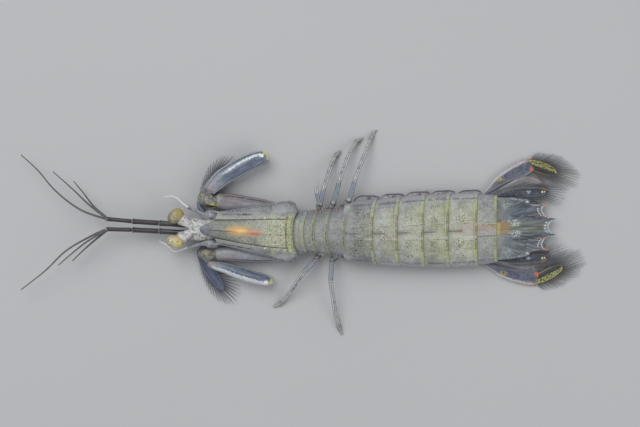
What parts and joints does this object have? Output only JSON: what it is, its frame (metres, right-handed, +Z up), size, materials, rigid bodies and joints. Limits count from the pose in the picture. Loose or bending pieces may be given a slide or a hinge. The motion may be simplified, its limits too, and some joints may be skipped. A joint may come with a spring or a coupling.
{
  "type": "mantis shrimp",
  "caption": "Life-size still model of a spearing mantis shrimp lying flat, with folded toothed claws, stalked eyes, ringed belly and a bristle-edged tail fan.",
  "frame": {"origin": "on the floor, below the middle of the whole animal's box, feelers and tail bristles included", "axes": "+X from head to tail along the animal's length, +Y towards its right side, +Z up from the floor"},
  "size_m": [0.1586, 0.058, 0.0103],
  "materials": {
    "shell": "smooth wet shell, pale grey-green with yellow-green rear rims",
    "soft_body": "smooth, pale pinkish grey",
    "limb_shell": "smooth, white edges round a greyer core",
    "claw_shell": "smooth, blue-grey with pale lines",
    "feeler": "smooth, dark greyish purple",
    "eye": "glossy pale yellow",
    "tail_fan": "smooth, blue-grey, yellow-rimmed, with fine bristles",
    "swimmeret": "smooth, thin, pale"
  },
  "bodies": {
    "root": {"abdomen_1": "shell", "abdomen_2": "shell", "abdomen_3": "shell", "abdomen_4": "shell", "abdomen_5": "shell", "abdomen_6": "shell", "antenna_left": "feeler", "antenna_right": "feeler", "antennal_scale_left": "tail_fan", "antennal_scale_right": "tail_fan", "antennule_left": "feeler", "antennule_right": "feeler", "carapace": "shell", "cephalothorax": "soft_body", "claw_arm_left": "claw_shell", "claw_arm_right": "claw_shell", "claw_finger_left": "claw_shell", "claw_finger_right": "claw_shell", "claw_hand_left": "claw_shell", "claw_hand_right": "claw_shell", "claw_wrist_left": "claw_shell", "claw_wrist_right": "claw_shell", "eye_left": "eye", "eye_right": "eye", "eye_stalk_left": "soft_body", "eye_stalk_right": "soft_body", "head": "soft_body", "leg_1_left": "limb_shell", "leg_1_right": "limb_shell", "leg_2_left": "limb_shell", "leg_2_right": "limb_shell", "leg_3_left": "limb_shell", "leg_3_right": "limb_shell", "maxilliped_3_left": "limb_shell", "maxilliped_3_right": "limb_shell", "maxilliped_4_left": "limb_shell", "maxilliped_4_right": "limb_shell", "maxilliped_5_left": "limb_shell", "maxilliped_5_right": "limb_shell", "rostral_plate": "shell", "swimmeret_1_left": "swimmeret", "swimmeret_1_right": "swimmeret", "swimmeret_2_left": "swimmeret", "swimmeret_2_right": "swimmeret", "swimmeret_3_left": "swimmeret", "swimmeret_3_right": "swimmeret", "swimmeret_4_left": "swimmeret", "swimmeret_4_right": "swimmeret", "swimmeret_5_left": "swimmeret", "swimmeret_5_right": "swimmeret", "telson": "shell", "thorax_6": "shell", "thorax_7": "shell", "thorax_8": "shell", "uropod_base_left": "tail_fan", "uropod_base_right": "tail_fan", "uropod_inner_left": "tail_fan", "uropod_inner_right": "tail_fan", "uropod_outer_left": "tail_fan", "uropod_outer_right": "tail_fan"}
  },
  "joints": []
}
